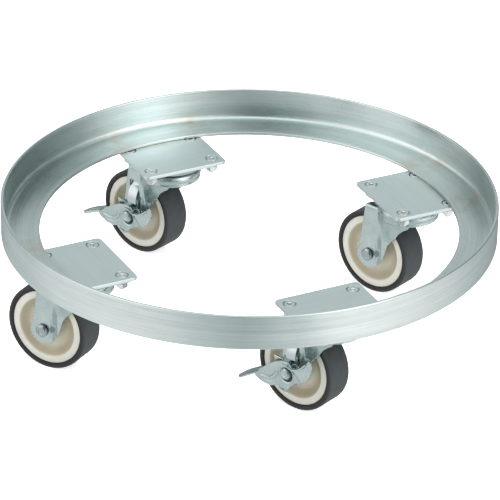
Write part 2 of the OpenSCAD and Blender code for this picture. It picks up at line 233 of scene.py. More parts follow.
def hexagon(af, h, chamfer, bore=0.0, both=False, steps=6):
    """Hexagon head or nut standing on z = 0, its corners turned down at 30 degrees."""
    n = 6 * steps
    slope = math.tan(math.radians(30))
    flat = af / 2

    def corner(k):
        a = TAU * k / n
        return flat / math.cos((a + math.pi / 6) % (math.pi / 3) - math.pi / 6), a

    inner = flat - chamfer
    rows = [[(bore or NEAR_AXIS, 0.0)] * n]
    if both:
        rows.append([(inner, 0.0)] * n)
        rows.append([(corner(k)[0], (corner(k)[0] - inner) * slope) for k in range(n)])
    else:
        rows.append([(corner(k)[0], 0.0) for k in range(n)])
    rows.append([(corner(k)[0], h - (corner(k)[0] - inner) * slope) for k in range(n)])
    rows.append([(inner, h)] * n)
    if bore:
        rows.append([(bore + 0.5, h)] * n)
        rows.append([(bore, h - 0.5)] * n)
    else:
        rows.append([(inner * 0.5, h + 0.05)] * n)
        rows.append([(NEAR_AXIS, h + 0.08)] * n)
    verts = [(r * math.cos(corner(k)[1]), r * math.sin(corner(k)[1]), z)
             for row in rows for k, (r, z) in enumerate(row)]
    faces = []
    count = len(rows)
    for row in range(count if bore else count - 1):
        for k in range(n):
            m = (k + 1) % n
            nxt = (row + 1) % count
            faces.append((row * n + k, row * n + m, nxt * n + m, nxt * n + k))
    if not bore:
        faces.append(tuple(range(n))[::-1])
        faces.append(tuple((count - 1) * n + k for k in range(n)))
    return verts, faces


def joined(*parts):
    verts, faces = [], []
    for v, f in parts:
        base = len(verts)
        verts += v
        faces += [tuple(i + base for i in face) for face in f]
    return verts, faces


def moved(part, matrix):
    v, f = part
    return [tuple(matrix @ Vector(p)) for p in v], f


def shifted(part, x=0.0, y=0.0, z=0.0):
    return moved(part, Matrix.Translation((x, y, z)))


def upright(part):
    """Turns a part drawn flat, with its thickness along Z, so that Z becomes Y and Y becomes Z."""
    v, f = part
    return [(x, z, y) for x, y, z in v], [face[::-1] for face in f]


def slab(rows, thick):
    """Closed sheet between rows of surface points; each point is (position, direction to the back)."""
    n, m = len(rows), len(rows[0])
    front = [tuple(p) for row in rows for p, _ in row]
    back = [tuple(Vector(p) + Vector(d).normalized() * thick) for row in rows for p, d in row]
    verts, faces = front + back, []
    size = n * m
    for i in range(n - 1):
        for j in range(m - 1):
            a, b, c, d = i * m + j, i * m + j + 1, (i + 1) * m + j + 1, (i + 1) * m + j
            faces.append((a, b, c, d))
            faces.append((d + size, c + size, b + size, a + size))
    rim = list(range(m))
    rim += [i * m + m - 1 for i in range(1, n)]
    rim += [(n - 1) * m + j for j in range(m - 2, -1, -1)]
    rim += [i * m for i in range(n - 2, 0, -1)]
    for a, b in zip(rim, rim[1:] + rim[:1]):
        faces.append((b, a, a + size, b + size))
    return verts, faces


def to_mesh(name, part, sharp=38.0):
    verts, faces = part
    mesh = bpy.data.meshes.new(name)
    mesh.from_pydata([(x * MM, y * MM, z * MM) for x, y, z in verts], [], faces)
    bm = bmesh.new()
    bm.from_mesh(mesh)
    bmesh.ops.remove_doubles(bm, verts=bm.verts, dist=0.004 * MM)
    bmesh.ops.dissolve_degenerate(bm, edges=bm.edges, dist=0.002 * MM)
    bmesh.ops.recalc_face_normals(bm, faces=bm.faces)
    bm.to_mesh(mesh)
    bm.free()
    mesh.shade_smooth()
    if sharp:
        mesh.set_sharp_from_angle(angle=math.radians(sharp))
    mesh.validate()
    return mesh


def evaluated(obj):
    """The object's mesh with its modifiers applied; the object itself is removed."""
    dg = bpy.context.evaluated_depsgraph_get()
    mesh = bpy.data.meshes.new_from_object(obj.evaluated_get(dg))
    bpy.data.objects.remove(obj)
    return mesh


def fused(name, part, voxel, soften, keep=1.0):
    """One skin over overlapping closed parts, with its inside corners softened as a pressing's are."""
    obj = bpy.data.objects.new(name, to_mesh(name, part, 0))
    bpy.context.scene.collection.objects.link(obj)
    skin = obj.modifiers.new("skin", "REMESH")
    skin.mode = "VOXEL"
    skin.voxel_size = voxel * MM
    skin.use_smooth_shade = True
    if soften:
        relax = obj.modifiers.new("relax", "SMOOTH")
        relax.factor = 0.5
        relax.iterations = soften
    if keep < 1.0:
        thin = obj.modifiers.new("thin", "DECIMATE")
        thin.ratio = keep
    bpy.context.view_layer.update()
    mesh = evaluated(obj)
    mesh.name = name
    mesh.shade_smooth()
    return mesh


def remember_own_frame(mesh):
    own = mesh.attributes.new(OWN_FRAME, "FLOAT_VECTOR", "POINT")
    own.data.foreach_set("vector", [c for v in mesh.vertices for c in v.co])


def put(name, mesh, body, material, place=Matrix.Identity(4), replaces=(), flat_caps=False):
    """Adds a piece at its place, riding on its body, for the CAD nodes that it replaces."""
    mesh = mesh.copy()
    mesh.name = name
    remember_own_frame(mesh)
    mesh.transform(place)
    mesh.materials.append(material)
    obj = bpy.data.objects.new(name, mesh)
    bpy.context.scene.collection.objects.link(obj)
    if flat_caps:
        even = obj.modifiers.new("even_normals", "WEIGHTED_NORMAL")
        even.keep_sharp = True
    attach(obj, body)
    if replaces:
        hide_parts(*replaces)
    return obj


# ---------------------------------------------------------------- materials

def add_node(tree, kind, values=None, **props):
    """A shader node with its properties, each input set to a value or linked to a socket."""
    node = tree.nodes.new("ShaderNode" + kind)
    for key, value in props.items():
        setattr(node, key, value)
    for key, value in (values or {}).items():
        if isinstance(value, bpy.types.NodeSocket):
            tree.links.new(value, node.inputs[key])
        else:
            node.inputs[key].default_value = value
    return node


class Tree:
    """A few short forms for building a material's nodes."""

    def __init__(self, name):
        self.material = bpy.data.materials.new(name)
        self.material.use_nodes = True
        self.tree = self.material.node_tree
        self.shader = self.tree.nodes["Principled BSDF"]

    def new(self, kind, values=None, **props):
        return add_node(self.tree, kind, values, **props)

    def flat(self, x, y):
        """The vector (x, y, 0) and its length, which is the distance from the Z axis."""
        vector = self.new("CombineXYZ", {0: x, 1: y, 2: 0.0}).outputs[0]
        return vector, self.new("VectorMath", {0: vector}, operation="LENGTH").outputs["Value"]

    def own_frame(self):
        return self.new("Attribute", attribute_name=OWN_FRAME).outputs["Vector"]

    def math(self, operation, a, b=0.0):
        return self.new("Math", {0: a, 1: b}, operation=operation).outputs[0]

    def noise(self, vector, scale, detail=2.0, rough=0.5):
        values = {"Vector": vector, "Scale": scale, "Detail": detail, "Roughness": rough}
        return self.new("TexNoise", values).outputs["Fac"]

    def remap(self, value, a, b, c, d):
        values = {0: value, 1: a, 2: b, 3: c, 4: d}
        return self.new("MapRange", values).outputs[0]

    def mix(self, factor, a, b):
        return self.new("Mix", {0: factor, 6: a, 7: b}, data_type="RGBA").outputs[2]

    def bump(self, height, distance, strength, normal=None):
        values = {"Height": height, "Distance": distance, "Strength": strength}
        if normal is not None:
            values["Normal"] = normal
        return self.new("Bump", values).outputs[0]

    def set(self, **values):
        for key, value in values.items():
            socket = self.shader.inputs[key.replace("_", " ")]
            if isinstance(value, bpy.types.NodeSocket):
                self.tree.links.new(value, socket)
            else:
                socket.default_value = value
        return self.material


def rgb(r, g, b):
    return (r, g, b, 1.0)


def grain_vector(t, grain):
    """Coordinates that are long along the grain and short across it, in the object's own frame."""
    where = t.own_frame()
    if grain == "none":
        return where, where
    if grain == "ring":
        x, y, z = t.new("SeparateXYZ", {0: where}).outputs
        flat, radius = t.flat(x, y)
        unit = t.new("VectorMath", {0: flat}, operation="NORMALIZE").outputs[0]
        across = t.math("SUBTRACT", z, radius)
        ux, uy, _ = t.new("SeparateXYZ", {0: unit}).outputs
        vector = t.new("CombineXYZ", {0: t.math("MULTIPLY", ux, 0.005), 1: t.math("MULTIPLY", uy, 0.005),
                                      2: across}).outputs[0]
        return vector, where
    stretch = {"x": (0.04, 1.0, 1.0), "y": (1.0, 0.04, 1.0), "z": (1.0, 1.0, 0.05)}[grain]
    vector = t.new("Mapping", {"Vector": where, "Scale": stretch}).outputs[0]
    return vector, where


def steel(name, colour, dark, rough, grain="none", fine=1500.0, spread=0.06, anisotropic=0.0,
          tint=None, bump=0.25, spotted=0.0):
    """Stainless steel: grain in streaks, cloudy patches of polish, and what tint adds: heat colour on the
    ring and plates, painted shade in the fork's axle pocket.
    """
    t = Tree(name)
    vector, where = grain_vector(t, grain)
    streaks = t.noise(vector, fine, 3.0, 0.6)
    bands = t.noise(vector, fine / 6, 2.0, 0.5)
    cloud = t.noise(where, 14.0, 4.0, 0.6)
    sweeps = t.noise(vector, fine / 26, 2.0, 0.5)
    mixed = t.math("ADD", t.math("MULTIPLY", streaks, 0.30), t.math("MULTIPLY", bands, 0.28))
    mixed = t.math("ADD", mixed, t.math("MULTIPLY", sweeps, 0.24))
    mixed = t.math("ADD", mixed, t.math("MULTIPLY", cloud, 0.18))
    tone = t.mix(t.remap(mixed, 0.38, 0.62, 0.0, 1.0), dark, colour)
    if spotted:
        specks = t.noise(where, 260.0, 3.0, 0.6)
        tone = t.mix(t.remap(specks, 0.62, 0.78, 0.0, spotted), tone, dark)
    if tint:
        tone = tint(t, where, tone)
    roughness = t.remap(t.math("ADD", t.math("MULTIPLY", streaks, 0.6), t.math("MULTIPLY", cloud, 0.4)),
                        0.3, 0.7, rough - spread, rough + spread)
    normal = t.bump(streaks, 0.00002, bump)
    t.set(Base_Color=tone, Metallic=1.0, Roughness=roughness, Normal=normal)
    if anisotropic:
        tangent = t.new("Tangent", direction_type="RADIAL", axis="Z").outputs[0]
        t.set(Anisotropic=anisotropic, Anisotropic_Rotation=0.25, Tangent=tangent)
    return t.material


def ring_tint(t, where, tone):
    """Straw and brown colour round the four welds."""
    x, y, z = t.new("SeparateXYZ", {0: where}).outputs
    ax, ay = t.math("ABSOLUTE", x), t.math("ABSOLUTE", y)
    along = t.math("MINIMUM", ax, ay)
    near = t.remap(t.math("ABSOLUTE", t.math("SUBTRACT", along, 0.056)), 0.004, 0.030, 1.0, 0.0)
    _, radius = t.flat(x, y)
    low = t.math("MULTIPLY", t.remap(z, 0.004, 0.012, 1.0, 0.0), t.remap(radius, 0.298, 0.2995, 1.0, 0.0))
    patchy = t.remap(t.noise(where, 60.0, 3.0), 0.35, 0.7, 0.0, 0.6)
    return t.mix(t.math("MULTIPLY", t.math("MULTIPLY", near, low), patchy), tone, rgb(0.46, 0.40, 0.29))


def plate_tint(t, where, tone):
    """Heat colour where the plate goes under the shelf."""
    x, _, _ = t.new("SeparateXYZ", {0: where}).outputs
    near = t.remap(x, (SHELF_IN - SWIVEL_R - 14) * MM, (SHELF_IN - SWIVEL_R + 2) * MM, 0.0, 1.0)
    patchy = t.remap(t.noise(where, 55.0, 4.0), 0.3, 0.7, 0.1, 0.75)
    return t.mix(t.math("MULTIPLY", near, patchy), tone, rgb(0.42, 0.38, 0.27))


def pocket_painted_shade(t, where, tone):
    """Painted shade: darkens the steel round the pressed pocket by the axle, where shade falls in the recess.
    """
    x, _, z = t.new("SeparateXYZ", {0: where}).outputs
    u = t.math("DIVIDE", t.math("SUBTRACT", x, MARK_X * MM), 3.6 * MM)
    v = t.math("DIVIDE", t.math("SUBTRACT", z, MARK_Z * MM), 4.8 * MM)
    away = t.math("ADD", t.math("MULTIPLY", u, u), t.math("MULTIPLY", v, v))
    return t.mix(t.remap(away, 0.5, 1.5, 0.85, 0.0), tone, rgb(0.16, 0.20, 0.21))


def rubber():
    t = Tree("tread_rubber")
    where = t.own_frame()
    x, y, _ = t.new("SeparateXYZ", {0: where}).outputs
    _, radius = t.flat(x, y)
    cloud = t.noise(where, 45.0, 4.0, 0.6)
    grit = t.noise(where, 1400.0, 3.0, 0.6)
    face = t.remap(radius, 0.0505, 0.0545, 0.0, 1.0)
    tone = t.mix(cloud, rgb(0.011, 0.011, 0.011), rgb(0.016, 0.016, 0.016))
    tone = t.mix(t.math("MULTIPLY", face, t.remap(cloud, 0.3, 0.7, 0.4, 1.0)), tone, rgb(0.034, 0.043, 0.046))
    tone = t.mix(t.remap(grit, 0.62, 0.75, 0.0, 0.25), tone, rgb(0.07, 0.07, 0.068))
    normal = t.bump(grit, 0.00006, 0.35)
    return t.set(Base_Color=tone, Roughness=t.remap(cloud, 0.3, 0.7, 0.46, 0.6), Normal=normal,
                 Specular_IOR_Level=0.24)


def hub_plastic():
    t = Tree("hub_plastic")
    where = t.own_frame()
    x, y, _ = t.new("SeparateXYZ", {0: where}).outputs
    _, radius = t.flat(x, y)
    cloud = t.noise(where, 38.0, 4.0, 0.6)
    pores = t.noise(where, 900.0, 3.0, 0.6)
    rim = t.remap(radius, 0.0375, 0.0392, 0.0, 1.0)
    inside = t.mix(t.remap(cloud, 0.3, 0.7, 0.0, 1.0), rgb(0.36, 0.34, 0.255), rgb(0.46, 0.44, 0.355))
    # painted shade: towards the outer corner of the recess the tan darkens, as shade falls there
    inside = t.mix(t.remap(radius, 0.026, 0.034, 0.0, 0.8), inside, rgb(0.28, 0.245, 0.16))
    edge = t.mix(t.remap(cloud, 0.3, 0.7, 0.0, 1.0), rgb(0.40, 0.405, 0.355), rgb(0.47, 0.48, 0.43))
    tone = t.mix(rim, inside, edge)
    tone = t.mix(t.remap(pores, 0.6, 0.75, 0.0, 0.3), tone, rgb(0.42, 0.35, 0.26))
    normal = t.bump(pores, 0.00004, 0.25)
    return t.set(Base_Color=tone, Roughness=t.remap(cloud, 0.3, 0.7, 0.38, 0.5), Normal=normal,
                 Subsurface_Weight=0.08, Subsurface_Scale=0.004)


ring_steel = steel("ring_steel", rgb(0.62, 0.70, 0.695), rgb(0.445, 0.535, 0.53), 0.30, "ring", 2600.0,
                   anisotropic=0.75, tint=ring_tint)
plate_steel = steel("plate_steel", rgb(0.60, 0.69, 0.69), rgb(0.54, 0.635, 0.635), 0.34, "y", 1700.0,
                    tint=plate_tint, bump=0.15)
weld_steel = steel("weld_steel", rgb(0.50, 0.47, 0.40), rgb(0.26, 0.22, 0.17), 0.42, fine=500.0, bump=0.6,
                   spotted=0.4)
# its tint paints shade into the pressed pocket by the axle
fork_steel = steel("caster_steel", rgb(0.43, 0.525, 0.53), rgb(0.335, 0.415, 0.41), 0.26, fine=330.0,
                   spread=0.05, tint=pocket_painted_shade, bump=0.1)
screw_steel = steel("screw_steel", rgb(0.66, 0.72, 0.72), rgb(0.54, 0.60, 0.60), 0.22, fine=900.0, bump=0.1)
axle_steel = steel("axle_steel", rgb(0.35, 0.42, 0.43), rgb(0.27, 0.33, 0.34), 0.20, fine=900.0, bump=0.1)
spring_steel = steel("spring_steel", rgb(0.45, 0.52, 0.54), rgb(0.38, 0.45, 0.47), 0.20, "z", 1200.0,
                     bump=0.1)
tread_rubber = rubber()
cream_plastic = hub_plastic()


# ---------------------------------------------------------------- ring

def build_ring():
    inner = RING_R - WALL
    shelf = [(SHELF_IN, PLATE_TOP), (RING_R, PLATE_TOP), (RING_R, RIM_Z), (inner, RIM_Z),
             (inner, 0.0), (SHELF_IN, 0.0)]
    profile = rounded(shelf, [1.0, 1.2, 1.2, 1.0, 6.5, 1.0], 6)
    fine = []
    for a, b in zip(profile, profile[1:] + profile[:1]):
        cuts = max(1, round((Vector(b) - Vector(a)).length / 7))
        fine += [tuple(Vector(a).lerp(Vector(b), k / cuts)) for k in range(cuts)]
    verts, faces = revolve(fine, 360)
    waves = [(5, 0.5, 0.10), (9, 2.1, 0.07), (14, 4.0, 0.04)]
    out = []
    for x, y, z in verts:
        r, a = math.hypot(x, y), math.atan2(y, x)
        up = max(0.0, z) / RIM_Z
        lean = sum(h * (0.4 + 0.6 * up) * math.sin(n * a + p + 2.0 * up) for n, p, h in waves)
        r -= max(0.0, lean + 0.12)
        out.append((r * math.cos(a), r * math.sin(a), z))
    put("ring_angle", to_mesh("ring_angle", (out, faces), 0), "ring", ring_steel,
        replaces=["ring_frame"])


def build_plates():
    outer = PLATE_OUT_R - SWIVEL_R
    depth, bore = 4.0, 4.2
    top = PLATE_TOP - SCREW_SINK
    outline = rectangle(outer - PLATE_L, outer, -PLATE_HALF, PLATE_HALF, 6.0, 8)
    holes = [circle(COUNTERSINK_R, 40, x, y) for x, y in SCREW_PLACES]
    seat = [(COUNTERSINK_R, PLATE_TOP - 0.4), (7.7, top - 1.3), (bore, top - depth + 0.3),
            (bore, PLATE_BOTTOM), (COUNTERSINK_R, PLATE_BOTTOM)]
    parts = [plate(outline, holes, PLATE_BOTTOM, PLATE_TOP, 0.5)]
    parts += [shifted(revolve(seat, 40), x, y) for x, y in SCREW_PLACES]
    for i in CASTERS:
        put(f"mount_plate_skin_{i}", to_mesh(f"mount_plate_skin_{i}", joined(*parts)), "ring",
            plate_steel, caster_frame(i), [f"mount_plate_{i}"], True)


def screw_part():
    """Countersunk screw with a hexagon socket; the top of its head is at z = 0."""
    n = 48
    flat = 2.3

    def socket(k):
        a = TAU * k / n
        return flat / math.cos((a + math.pi / 6) % (math.pi / 3) - math.pi / 6)

    rows = [[(NEAR_AXIS, -2.2)] * n, [(socket(k) * 0.55, -2.1) for k in range(n)],
            [(socket(k), -1.8) for k in range(n)], [(socket(k), -0.45) for k in range(n)],
            [(socket(k) + 0.7, 0.0) for k in range(n)], [(4.2, 0.1)] * n, [(5.9, 0.1)] * n,
            [(6.7, -0.15)] * n, [(7.0, -0.8)] * n, [(4.0, -4.2)] * n, [(4.0, -17.4)] * n,
            [(3.4, -18.0)] * n, [(NEAR_AXIS, -18.0)] * n]
    verts = [(r * math.cos(TAU * k / n), r * math.sin(TAU * k / n), z)
             for row in rows for k, (r, z) in enumerate(row)]
    faces = [(i * n + k, i * n + (k + 1) % n, (i + 1) * n + (k + 1) % n, (i + 1) * n + k)
             for i in range(len(rows) - 1) for k in range(n)]
    return verts, faces


def ring_of(part_at):
    """One mesh of a part at all sixteen screw places, in the row frame, in millimetres."""
    parts = []
    for i in CASTERS:
        base = caster_frame(i)
        base.translation /= MM
        for x, y in SCREW_PLACES:
            spot = base @ Matrix.Translation((x, y, 0))
            parts.append(moved(part_at(random.uniform(0, TAU)), spot))
    return joined(*parts)


def build_fasteners():
    random.seed(7)
    top = PLATE_TOP - SCREW_SINK
    put("screw_heads", to_mesh("screw_heads", ring_of(
        lambda turn: moved(screw_part(), Matrix.Translation((0, 0, top)) @ Matrix.Rotation(turn, 4, "Z")))),
        "ring", screw_steel, replaces=["plate_screws"])
    under = TOP_PLATE_BOTTOM
    nut_place = Matrix.Translation((0, 0, under - WASHER_H - NUT_H))
    put("nut_set", to_mesh("nut_set", ring_of(
        lambda turn: moved(hexagon(HEX_AF, NUT_H, 0.3, BOLT_R, True),
                           nut_place @ Matrix.Rotation(turn, 4, "Z")))),
        "ring", screw_steel, replaces=["plate_nuts"])

    def washer(turn):
        rows = []
        steps = 40
        for k in range(steps + 1):
            a = math.radians(6) + (TAU - math.radians(12)) * k / steps
            lift = 0.25 * (k / steps - 0.5)
            low, high = -0.85 + lift, 0.85 + lift
            rows.append([(4.1, low, a), (WASHER_R, low, a), (WASHER_R, high, a), (4.1, high, a)])
        verts = [(r * math.cos(a), r * math.sin(a), z - 1.0) for row in rows for r, z, a in row]
        faces = [(k * 4 + j, k * 4 + (j + 1) % 4, (k + 1) * 4 + (j + 1) % 4, (k + 1) * 4 + j)
                 for k in range(steps) for j in range(4)]
        faces += [(3, 2, 1, 0), tuple(steps * 4 + j for j in range(4))]
        return moved((verts, faces), Matrix.Translation((0, 0, under)) @ Matrix.Rotation(turn, 4, "Z"))

    put("split_washers", to_mesh("split_washers", ring_of(washer), 30), "ring", plate_steel,
        replaces=["lock_washers"])


def build_welds():
    """Rippled beads in the corner between the shelf's underside and the sides of the plates."""
    parts = []
    for i in CASTERS:
        base = caster_frame(i)
        base.translation /= MM
        for side in (-1, 1):
            rows = []
            steps = 84
            for k in range(steps + 1):
                t = k / steps
                end = min(1.0, 10 * t, 10 * (1 - t)) ** 0.5
                ripple = 0.86 + 0.12 * abs(math.sin(math.pi * 11 * t + 0.6 * math.sin(9 * t)))
                r = 3.95 * end * ripple + 0.02
                x = SHELF_IN - SWIVEL_R + 28.0 * t
                bow = 0.35 * math.cos(TAU * 5.5 * t)
                row = [(x, side * 55.6, PLATE_TOP + 0.3)]
                for m in range(7):
                    a = math.pi / 2 * m / 6
                    row.append((x + bow * math.sin(2 * a), side * (56.0 + r * math.cos(a)),
                                PLATE_TOP - r * math.sin(a)))
                rows.append(row)
            n = len(rows[0])
            verts = [p for row in rows for p in row]
            faces = [(k * n + j, k * n + (j + 1) % n, (k + 1) * n + (j + 1) % n, (k + 1) * n + j)
                     for k in range(steps) for j in range(n)]
            faces += [tuple(range(n))[::-1], tuple(steps * n + j for j in range(n))]
            parts.append(moved((verts, faces), base))
    put("weld_ripples", to_mesh("weld_ripples", joined(*parts), 50), "ring", weld_steel,
        replaces=["weld_beads"])


# ---------------------------------------------------------------- swivel head

def build_top_plates():
    """The caster's own plate: a rounded rectangle with a dish pressed down out of it."""
    flat_r, steps = 46.0, 96
    dish = rounded([(flat_r, PLATE_BOTTOM), (40.0, PLATE_BOTTOM), (37.5, -12.5), (6.1, -12.5),
                    (6.1, -15.5), (40.2, -15.5), (42.0, TOP_PLATE_BOTTOM), (flat_r, TOP_PLATE_BOTTOM)],
                   [0, 1.5, 1.5, 0, 0, 1.6, 1.2, 0], 4)
    outline = rectangle(-42.5, 42.5, -52.5, 52.5, 6.0, 8)
    holes = [circle(41.0, steps)] + [circle(4.2, 24, x, y) for x, y in SCREW_PLACES]
    rim = plate(outline, holes, TOP_PLATE_BOTTOM, PLATE_BOTTOM, 0.5)
    dish_fit = [(min(r, 41.6), z) for r, z in dish]  # laps 0.6 over the edge of the rim's hole
    for i in CASTERS:
        mesh = to_mesh(f"top_plate_skin_{i}", joined(rim, revolve(dish_fit, steps)))
        put(f"top_plate_skin_{i}", mesh, "ring", fork_steel, caster_frame(i),
            [f"top_plate_{i}"], True)


# ---------------------------------------------------------------- fork

def leg_front(z):
    """Front edge of a leg, as a distance along the trail."""
    points = [(-113.5, 42.0), (-111.0, 33.0), (-106.0, 27.2), (-99.0, 23.0), (-89.0, 19.2), (-75.0, 15.0),
              (-66.0, 7.5), (-57.0, -1.0), (-48.0, -8.0), (-41.0, -15.0), (-36.0, -22.0), (-31.0, -24.5)]
    return ramp(points, z)


def leg_back(z):
    points = [(-113.5, 43.0), (-111.5, 50.0), (-107.0, 56.0), (-101.0, 59.6), (-94.0, 60.0),
              (-88.0, 57.2), (-60.0, 53.4), (-29.0, 49.6), (-20.0, 49.0)]
    return ramp(points, z)


def ramp(points, x):
    """Smooth curve through (x, y) points in rising order."""
    if x <= points[0][0]:
        return points[0][1]
    for k in range(len(points) - 1):
        if x <= points[k + 1][0]:
            (x0, y0), (x1, y1) = points[k], points[k + 1]
            h = x1 - x0
            before = points[max(0, k - 1)]
            after = points[min(len(points) - 1, k + 2)]
            m0 = (y1 - before[1]) / (x1 - before[0])
            m1 = (after[1] - y0) / (after[0] - x0)
            t = (x - x0) / h
            return (y0 * (2 * t ** 3 - 3 * t * t + 1) + m0 * h * (t ** 3 - 2 * t * t + t)
                    + y1 * (3 * t * t - 2 * t ** 3) + m1 * h * (t ** 3 - t * t))
    return points[-1][1]


def leg_face(u, z):
    """How far out the outer face of a leg lies: web, rib, and the flare into the wall of the cup."""
    rib = smooth(u, 22.8, 29.6)
    near_axle = smooth(math.hypot(u - TRAIL, z - AXLE_Z), 19.5, 13.5)
    y = WEB_Y + (RIB_Y - WEB_Y) * max(rib, near_axle if u > 30 else 0.0)
    wall = math.sqrt(max(0.0, CUP_R ** 2 - min(abs(u), CUP_R) ** 2))
    flare = min(1.0, max(0.0, (z + 71.0) / 41.0)) ** 1.2
    return y + max(0.0, wall - y) * flare


def leg_rows(low, high, count, cols, front, back):
    rows = []
    for k in range(count + 1):
        z = low + (high - low) * k / count
        a, b = front(z), back(z)
        row = []
        for j in range(cols + 1):
            u = a + (b - a) * j / cols
            slope_u = (leg_face(u + 0.3, z) - leg_face(u - 0.3, z)) / 0.6
            slope_z = (leg_face(u, z + 0.3) - leg_face(u, z - 0.3)) / 0.6
            row.append(((u, leg_face(u, z), z), (slope_u, -1.0, slope_z)))
        rows.append(row)
    return rows


def crown_rows():
    """The rib's band carried over the bend at its top and across to the other leg."""
    bend = 3.6
    rows = []
    path = [(RIB_Y, -44.0, 0.0), (RIB_Y, -36.0, 0.0)]
    for k in range(9):
        a = math.pi / 2 * k / 8
        path.append((RIB_Y - bend + bend * math.cos(a), CROWN_TOP - bend + bend * math.sin(a), a))
    for y in (16.0, 10.0, 4.0, 0.0, -4.0, -10.0, -16.0):
        path.append((y, CROWN_TOP, math.pi / 2))
    mirror = [(-y, z, math.pi - a) for y, z, a in path[:11][::-1]]
    path += mirror
    for y, z, a in path:
        middle = 1 - smooth(abs(y), 6.0, 21.0)
        first, last = 27.4, leg_back(min(z, -25.0)) - 9.0 * middle
        rows.append([((first + (last - first) * j / 12, y, z), (0.0, -math.cos(a), -math.sin(a)))
                     for j in range(13)])
    return rows


def fork_part():
    lip = CUP_TOP + 4.2
    bead = [(31.8, CUP_TOP), (32.4, lip - 0.4), (34.4, lip), (37.3, lip - 1.6), (CUP_R + 0.4, lip - 4.8),
            (CUP_R + 0.4, lip - 7.4), (CUP_R - 0.9, lip - 10.0)]
    cup = rounded([(6.15, CUP_TOP - 3), (6.15, CUP_TOP), *bead, (CUP_R - 0.5, CUP_BOTTOM),
                   (CUP_R - 3.0, CUP_BOTTOM), (CUP_R - 3.0, CUP_TOP - 3)],
                  [0, 0.5, 0.8, 0.6, 2.5, 4, 4, 3, 2, 0.8, 0.6, 2.0], 6)
    parts = [revolve(cup, 128)]
    leg = slab(leg_rows(-113.4, -31.0, 70, 44, leg_front, leg_back), SHEET)
    band = slab(crown_rows(), SHEET)
    parts.append(leg)
    parts.append(([(x, -y, z) for x, y, z in leg[0]], [f[::-1] for f in leg[1]]))
    parts.append(band)
    return joined(*parts)


def cut_window(mesh):
    """Opens the window for the leaf spring and the slot ahead of it, on the side with the lever."""
    obj = bpy.data.objects.new("cut", mesh)
    bpy.context.scene.collection.objects.link(obj)
    near_y, far_y = 18.0, 32.0  # the cutters pass right through the leg
    box = upright(plate(rectangle(31.2, 46.2, -59.0, -44.5, 1.2, 3), [], near_y, far_y, 0.0, 1))
    slot = upright(plate(rectangle(26.8, 32.2, -81.0, -65.0, 1.0, 3), [], near_y, far_y, 0.0, 1))
    cutter = bpy.data.objects.new("cutter", to_mesh("cutter", joined(box, slot), 0))
    bpy.context.scene.collection.objects.link(cutter)
    boolean = obj.modifiers.new("window", "BOOLEAN")
    boolean.operation = "DIFFERENCE"
    boolean.solver = "FAST"
    boolean.object = cutter
    bpy.context.view_layer.update()
    out = evaluated(obj)
    bpy.data.objects.remove(cutter)
    out.shade_smooth()
    out.set_sharp_from_angle(angle=math.radians(50))
    return out


def build_forks():
    plain = fused("fork_pressing", fork_part(), 0.62, 3, 0.35)
    # A pressed pocket just ahead of the axle, on both legs
    for v in plain.vertices:
        x, y, z = (c / MM for c in v.co)
        d = math.hypot((x - MARK_X) / POCKET_U, (z - MARK_Z) / POCKET_V)
        if abs(y) > 18 and d < 1.3 and z < -80:
            v.co.y -= math.copysign(POCKET_DEPTH * (1 - smooth(d, 0.8, 1.3)) * MM, y)
    windowed = cut_window(plain.copy())
    for i in CASTERS:
        mesh = windowed if i in BRAKED else plain
        put(f"fork_pressing_{i}", mesh, f"fork_body_{i}", fork_steel, fork_frame(i),
            [f"fork_{i}"])


# ---------------------------------------------------------------- axle, wheel

def build_axles():
    for i in CASTERS:
        collar = COLLAR_H if i in BRAKED else 0.0
        head_z = RIB_Y + collar
        parts = [shifted(round_head(7.3 if collar else 8.0), z=head_z)]
        end = RIB_Y + WASHER_H + NUT_H + 2.0
        shank = rounded([(NEAR_AXIS, -end), (BOLT_R, -end), (BOLT_R, head_z + 1),
                         (NEAR_AXIS, head_z + 1)], [0, 0.6, 0, 0], 3)
        parts.append(revolve(shank, 40, closed=False))
        if collar:
            parts.append(revolve([(BOLT_R, RIB_Y), (6.0, RIB_Y), (6.0, head_z), (BOLT_R, head_z)], 48))
        put(f"axle_head_{i}", to_mesh(f"axle_head_{i}", joined(*parts)), f"fork_body_{i}",
            fork_steel if collar else axle_steel, wheel_frame(i), [f"axle_bolt_{i}"])
        washer = rounded([(4.1, 0.0), (WASHER_R, 0.0), (WASHER_R, 1.9), (4.1, 1.9)], 0.3, 2)
        nut = joined(revolve(washer, 40), shifted(hexagon(HEX_AF, NUT_H, 0.3, BOLT_R, True), z=WASHER_H))
        flip = wheel_frame(i) @ Matrix.Rotation(math.pi, 4, "X") @ Matrix.Translation((0, 0, RIB_Y * MM))
        put(f"axle_locknut_{i}", to_mesh(f"axle_locknut_{i}", nut), f"fork_body_{i}", screw_steel,
            flip, [f"axle_nut_{i}"])


def round_head(r):
    """Cold-headed axle: a round head with a chamfer and a shallow dimple."""
    profile = rounded([(NEAR_AXIS, 0.0), (r - 1.8, 0.0), (r - 1.8, 0.9), (r, 1.1), (r, 3.6), (r - 1.9, 5.2),
                       (3.9, 5.2), (2.9, 4.7), (NEAR_AXIS, 4.5)], [0, 0, 0, 0.2, 0.25, 0.3, 0.3, 0.5, 0], 3)
    return revolve(profile, 64, closed=False)


